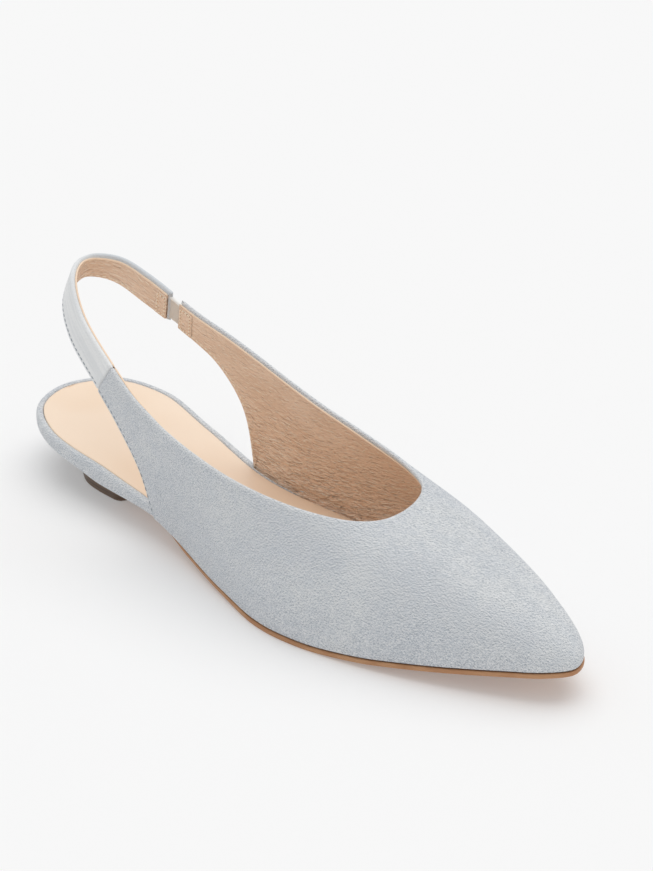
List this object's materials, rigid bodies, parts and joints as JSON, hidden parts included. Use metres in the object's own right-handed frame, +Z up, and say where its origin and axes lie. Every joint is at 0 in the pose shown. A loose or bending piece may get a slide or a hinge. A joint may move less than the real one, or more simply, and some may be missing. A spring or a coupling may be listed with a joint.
{
  "type": "slingback pump",
  "caption": "Low-heeled slingback pump with a pointed toe, one-piece quarters, a narrow heel strap and a short elastic at its inner end.",
  "frame": {"origin": "on the floor, at the middle of the shoe's length and width", "axes": "+Z up, the toe towards -Y and the heel towards +Y, the wearer's outer side towards -X"},
  "size_m": [0.0781, 0.266, 0.081],
  "materials": {
    "suede": "brushed pale blue-grey suede",
    "strap_suede": "smoother pale grey suede",
    "lining_leather": "fine-grained tan lining leather",
    "sock_leather": "smooth peach-tan insole leather",
    "sole_leather": "tan sole leather with a darker trimmed edge",
    "heel_leather": "dark brown stacked leather",
    "elastic_webbing": "pale woven elastic",
    "stitching": "blue-grey waxed thread",
    "lining_stitching": "pale tan thread"
  },
  "bodies": {
    "root": {"outsole": "sole_leather", "heel_block": "heel_leather", "heel_seat": "suede", "insole": "sock_leather", "upper": "suede", "heel_strap": "strap_suede", "elastic": "elastic_webbing"}
  },
  "joints": []
}
